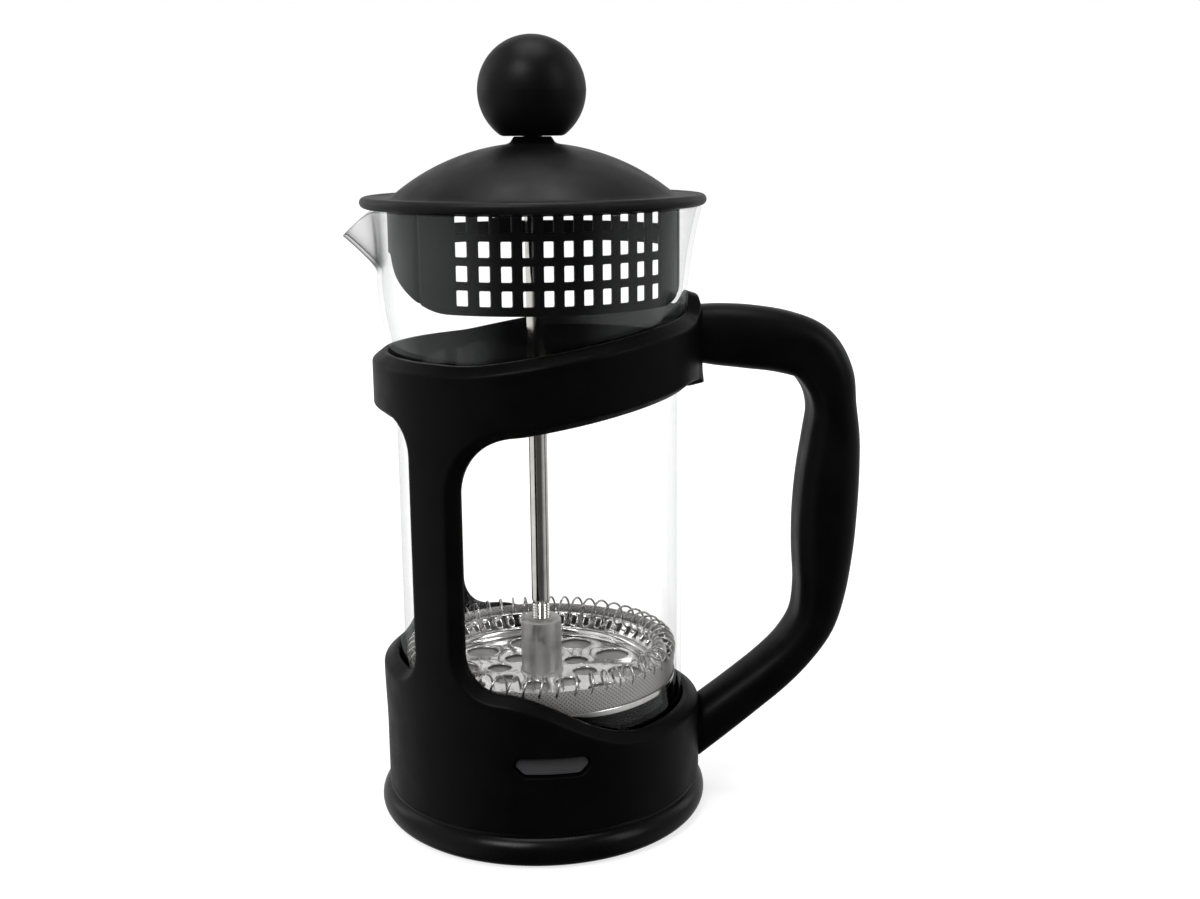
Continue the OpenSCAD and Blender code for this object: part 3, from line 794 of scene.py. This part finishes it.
def build_strainer():
    edge = PI * SKIRT_R
    outline = [(s, skirt_low(s / SKIRT_R)) for s in samples(-edge, edge, 0.8)]
    outline += [(s, 151.35) for s in samples(edge, -edge, 2.0)]
    loops = [outline]
    columns, rows = 11, 4
    across, down, top_row = 4.45, 5.37, 148.1
    half_u, half_z = 1.15, 1.75
    for column in range(columns):
        u = (column - columns // 2) * across
        a0, a1 = (math.asin((u + d) / SKIRT_R) * SKIRT_R for d in (-half_u, half_u))
        for row in range(rows):
            z = top_row - down * row
            loops.append(dense(rounded_box(a0, a1, z - half_z, z + half_z, 0.3), 1.2))
    for side in (-1, 1):
        a0, a1 = sorted((side * (edge - 2.5), side * math.radians(100) * SKIRT_R))
        loops.append(dense(rounded_box(a0, a1, 145.2, 149.7, 1.2), 1.5))
    layers = [(SKIRT_IN, 0.35), (SKIRT_IN, 0.18), (33.35, 0.03), (33.6, 0.0), (34.2, 0.0), (34.45, 0.03),
              (SKIRT_R, 0.18), (SKIRT_R, 0.35)]
    cuts = [("u", -edge + math.radians(3.0 * k) * SKIRT_R) for k in range(1, 120)]
    for side in (-1, 1):
        for d in (-1.28, -0.48, 0.48, 1.28):
            cuts.append(("u", side * math.radians(GROOVE_DEG + d) * SKIRT_R))
    return sheet("pouring_skirt", loops, layers, strainer_place, cuts, (-edge, edge), None, 50)


put(build_strainer(), STRAINER, "strainer", "strainer_plastic", "lid_strainer")


# ---------------------------------------------------------------- plunger
def build_knob():
    """The ball with its flat underside, the rod's bore and a faint bead along the mould line."""
    low = math.degrees(math.asin((BALL_FLAT - BALL_Z) / BALL_R))
    bore = [(0, 178.0), (3.62, 177.9), (3.62, BALL_FLAT + 0.02)]
    flat = BALL_R * math.cos(math.radians(low))
    ball = []
    steps = 96
    for i in range(steps + 1):
        a = math.radians(mix(low + 2.2, 90, i / steps))
        bead = 0.05 * math.exp(-((a * BALL_R) / 0.16) ** 2)
        ball.append(((BALL_R + bead) * math.cos(a), BALL_Z + (BALL_R + bead) * math.sin(a)))
    ball[-1] = (0, BALL_Z + BALL_R)
    base = [(flat - 0.45, BALL_FLAT), (flat - 0.05, 166.86)]
    return lathe("ball_knob", bore + base + ball, 224, sharp=50)


def build_rod():
    """The rod, with its thread as rings above the hub."""
    profile = [(0, 41.0), (1.9, 41.0)]
    z, thread_top, thread_pitch = 41.4, 52.6, 0.7
    while z < thread_top:
        profile += [(2.22, z), (2.0, z + thread_pitch / 2)]
        z += thread_pitch
    profile += [(2.1, 52.9), (ROD_R, 53.1)]
    profile += [(ROD_R, height) for height in (80.0, 120.0, 150.0, 176.6)]
    profile += [(2.1, 177.0), (0, 177.0)]
    return lathe("plunger_rod", profile, 96, sharp=30)


def build_hub():
    profile = [(2.27, 34.5), (5.4, 34.5), (5.4, 34.9), (5.05, 35.1), (5.05, 47.75), (4.98, 47.95),
               (4.3, 48.62), (4.1, 48.7), (2.5, 48.7), (2.27, 48.5)]
    return lathe("filter_hub", profile, 128, closed=True, sharp=25)


def circle_loop(x, y, r, n, clockwise=False):
    pts = [(x + r * math.cos(TAU * k / n), y + r * math.sin(TAU * k / n)) for k in range(n)]
    return pts[::-1] if clockwise else pts


def hole_loops():
    """Two circles of coffee holes and the clamp screw's hole in the middle."""
    loops = []
    for count, radius, hole, phase in ((8, 10.9, 3.0, -12), (10, 21.0, 4.15, -10)):
        for k in range(count):
            a = math.radians(phase + 360 * k / count)
            loops.append(circle_loop(radius * math.cos(a), radius * math.sin(a), hole, 48, True))
    loops.append(circle_loop(0, 0, 2.02, 48, True))
    return loops


def flat_place(x, depth, y):
    return x, y, depth


def build_disc(name, low, high, radius):
    layers = [(low, 0.25), (low + 0.12, 0.05), (high - 0.14, 0.03), (high - 0.04, 0.12), (high, 0.3)]
    return sheet(name, [circle_loop(0, 0, radius, 160)] + hole_loops(), layers, flat_place, (), None,
                 lambda number, p: 0.2 if number == 0 else 1.0, 60)


def build_plate_rim():
    """Raised step and slanted rim of the spring plate, with a slot for each turn of the spring."""
    per = 8                 # faces round the rim for each turn
    step = [(26.35, 34.5), (26.5, 34.65), (26.6, 35.1), (26.7, 35.9), (26.95, 36.3), (27.4, 36.4),
            (27.9, 36.3), (28.15, 36.1), (28.4, 36.2)]
    slant = [(mix(28.6, 31.6, i / 7), mix(36.35, 39.4, i / 7)) for i in range(8)]
    n = SPRING_TURNS * per
    bm = bmesh.new()
    rings = [ring(bm, r, z, n) for r, z in step + slant]
    for i, (a, b) in enumerate(zip(rings, rings[1:])):
        for k in range(n):
            j = (k + 1) % n
            if len(step) + 1 <= i <= len(step) + 4 and k % per in (2, 3, 4):
                continue
            bm.faces.new((a[k], a[j], b[j], b[k]))
    obj = finish_mesh(bm, "slanted_rim", 50)
    solid = obj.modifiers.new("thickness", "SOLIDIFY")
    solid.thickness = 0.35 * MM
    solid.offset = 0
    return obj


def build_spring():
    """The coil bent round into a ring, with small waves in its pitch, size and lean."""
    ring_r, ring_z, coil_r, wire_r = 30.8, 41.0, 2.75, 0.29
    per = 18                # points of the wire for each turn
    points = []
    n = SPRING_TURNS * per
    for k in range(n):
        phi = TAU * k / n
        a = SPRING_TURNS * phi + 0.5 * math.sin(3 * phi + 1.0) + 0.3 * math.sin(11 * phi)
        r = coil_r + 0.06 * math.sin(7 * phi)
        turned = phi + 0.25 * math.sin(5 * phi + 2) / 60
        radius = ring_r + r * math.cos(a)
        points.append((radius * math.cos(turned), radius * math.sin(turned), ring_z + r * math.sin(a)))
    return tube("sealing_spring", points, wire_r, 8, True)


def build_screen():
    profile = [(2.05, 33.45), (12.0, 33.45), (24.0, 33.45), (32.3, 33.45), (32.75, 33.6), (33.0, 34.0),
               (33.2, 36.0), (33.45, 39.0), (33.62, 41.0), (33.55, 41.15), (33.4, 41.0), (33.2, 39.0),
               (32.95, 36.0), (32.75, 34.2), (32.5, 33.85), (32.2, 33.75), (24.0, 33.75), (12.0, 33.75),
               (2.05, 33.75)]
    return lathe("woven_cup", profile, 224, closed=True, sharp=50, unroll_r=SCREEN_R)


def build_lower_rim():
    profile = [(26.3, 32.85), (31.8, 32.8), (32.6, 32.82), (33.05, 33.0), (33.35, 33.4), (33.42, 34.0),
               (33.48, 35.0), (33.4, 35.1), (33.3, 35.0), (33.2, 34.0), (33.05, 33.55), (32.6, 33.3),
               (31.8, 33.35), (26.3, 33.35)]
    return lathe("rolled_edge", profile, 224, closed=True, sharp=50)


put(build_knob(), KNOB, "plunger", "knob_plastic", "knob")
put(build_rod(), POLISHED, "plunger", "rod_steel", "rod")
put(build_hub(), SATIN, "plunger", "hub_steel", "hub_nut")
put(build_disc("upper_plate", 33.95, 34.5, PLATE_R), PRESSED, "plunger", "plate_steel", "spring_plate")
put(build_plate_rim(), PRESSED, "plunger", "plate_steel")
put(build_spring(), WIRE, "plunger", "spring_steel", "coil_spring")
put(build_screen(), WEAVE, "plunger", "mesh_steel", "mesh_screen")
put(build_disc("lower_plate", 32.85, 33.4, PLATE_R), PRESSED, "plunger", "plate_steel", "bottom_plate")
put(build_lower_rim(), PRESSED, "plunger", "plate_steel")

for node, material in (("handle_screws", ZINC), ("knob_insert", BRASS), ("clamp_screw", SATIN)):
    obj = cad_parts[node]
    obj.data.materials.clear()
    obj.data.materials.append(material)


# ---------------------------------------------------------------- stage
AIM = (0, 0, 0.1)       # metres, the point that every light faces


def area(name, at, size, power, shape=(1.0, 1.0)):
    light = bpy.data.lights.new(name, "AREA")
    light.shape = "RECTANGLE"
    light.size, light.size_y = size * shape[0], size * shape[1]
    light.energy = power
    obj = bpy.data.objects.new(name, light)
    bpy.context.scene.collection.objects.link(obj)
    obj.location = at
    obj.rotation_euler = (Vector(AIM) - Vector(at)).to_track_quat("-Z", "Y").to_euler()


def build_stage():
    bm = bmesh.new()
    bmesh.ops.create_circle(bm, cap_ends=True, segments=96, radius=4000)
    floor = finish_mesh(bm, "floor", 40)
    material, tree, shader = new_material("pale_floor")
    tree.links.new(tint(tree, noise(tree, 6, 2), (0.33, 0.33, 0.33), (0.37, 0.37, 0.37)),
                   shader.inputs["Base Color"])
    shader.inputs["Roughness"].default_value = 0.8
    shader.inputs["Specular IOR Level"].default_value = 0.1
    shader.inputs["Emission Color"].default_value = (1, 1, 1, 1)
    # Paler away from the object, so that the floor meets the backdrop without a line
    reach = add(tree, "ShaderNodeVectorMath", operation="LENGTH")
    tree.links.new(add(tree, "ShaderNodeTexCoord").outputs["Object"], reach.inputs[0])
    paleness = spread(tree, reach.outputs["Value"], 0.72, 0.87, 0.10, 0.60)
    tree.links.new(paleness, shader.inputs["Emission Strength"])
    floor.data.materials.append(material)
    floor.visible_glossy = False

    bm = bmesh.new()
    bmesh.ops.create_icosphere(bm, subdivisions=4, radius=3900)
    dome = finish_mesh(bm, "backdrop", 180)
    material, tree, shader = new_material("backdrop_white")
    shader.inputs["Base Color"].default_value = (0, 0, 0, 1)
    shader.inputs["Specular IOR Level"].default_value = 0.0
    shader.inputs["Emission Color"].default_value = (1, 1, 1, 1)
    shader.inputs["Emission Strength"].default_value = 1.0
    dome.data.materials.append(material)
    dome.visible_diffuse = False
    dome.visible_glossy = False
    dome.visible_shadow = False


def build_world():
    world = bpy.data.worlds.new("studio")
    bpy.context.scene.world = world
    world.use_nodes = True
    tree = world.node_tree
    coords = add(tree, "ShaderNodeTexCoord").outputs["Generated"]
    split = add(tree, "ShaderNodeSeparateXYZ")
    tree.links.new(coords, split.inputs[0])

    def soft(value, low, high, gain):
        node = add(tree, "ShaderNodeMapRange", interpolation_type="SMOOTHSTEP")
        node.inputs["From Min"].default_value = low
        node.inputs["From Max"].default_value = high
        node.inputs["To Max"].default_value = gain
        tree.links.new(value, node.inputs["Value"])
        return node.outputs["Result"]

    # A pale tent: brightest on the left, weaker on the right and at the back, dark round the camera
    x, y, z = split.outputs
    total = None
    for part in (soft(x, -0.35, -0.95, 0.85), soft(x, 0.45, 0.95, 0.5),
                 soft(y, 0.35, 0.95, 0.6), soft(z, -0.2, 1.0, 0.22)):
        if total is None:
            total = part
            continue
        node = add(tree, "ShaderNodeMath", operation="ADD")
        tree.links.new(total, node.inputs[0])
        tree.links.new(part, node.inputs[1])
        total = node.outputs[0]
    base = add(tree, "ShaderNodeMath", operation="ADD")
    base.inputs[1].default_value = 0.07
    tree.links.new(total, base.inputs[0])
    tree.links.new(base.outputs[0], tree.nodes["Background"].inputs["Strength"])
    tree.nodes["Background"].inputs["Color"].default_value = (1, 1, 1, 1)


CAMERA_AT = (-18.84, -359.49, 167.79)   # millimetres
CAMERA_TURN, CAMERA_DOWN, CAMERA_ROLL = (math.radians(a) for a in (5.42, 12.017, -0.532))


def build_camera():
    data = bpy.data.cameras.new("camera")
    data.lens = 44.92
    data.sensor_width = 36.0
    data.clip_start = 0.01
    data.clip_end = 20
    camera = bpy.data.objects.new("camera", data)
    bpy.context.scene.collection.objects.link(camera)
    turn, down, roll = CAMERA_TURN, CAMERA_DOWN, CAMERA_ROLL
    forward = Vector((math.sin(turn) * math.cos(down), math.cos(turn) * math.cos(down), -math.sin(down)))
    right = Vector((math.cos(turn), -math.sin(turn), 0))
    up = right.cross(forward)
    x = right * math.cos(roll) + up * math.sin(roll)
    y = up * math.cos(roll) - right * math.sin(roll)
    rotation = Matrix((x, y, -forward)).transposed()
    camera.matrix_world = Matrix.Translation(Vector(CAMERA_AT) * MM) @ rotation.to_4x4()
    bpy.context.scene.camera = camera


build_stage()
build_world()
build_camera()
area("key_left", (-0.6, -0.9, 1.2), 0.6, 17)
area("fill_right", (1.1, -0.7, 0.8), 0.7, 5, (0.6, 1.3))
area("top", (0.0, 0.1, 1.5), 0.8, 14)
area("rim_left", (-1.0, 0.6, 0.6), 0.6, 1.5, (0.6, 1.5))
area("rim_right", (1.1, 0.5, 0.6), 0.6, 1.5, (0.6, 1.5))
bpy.context.scene.view_settings.view_transform = "Standard"
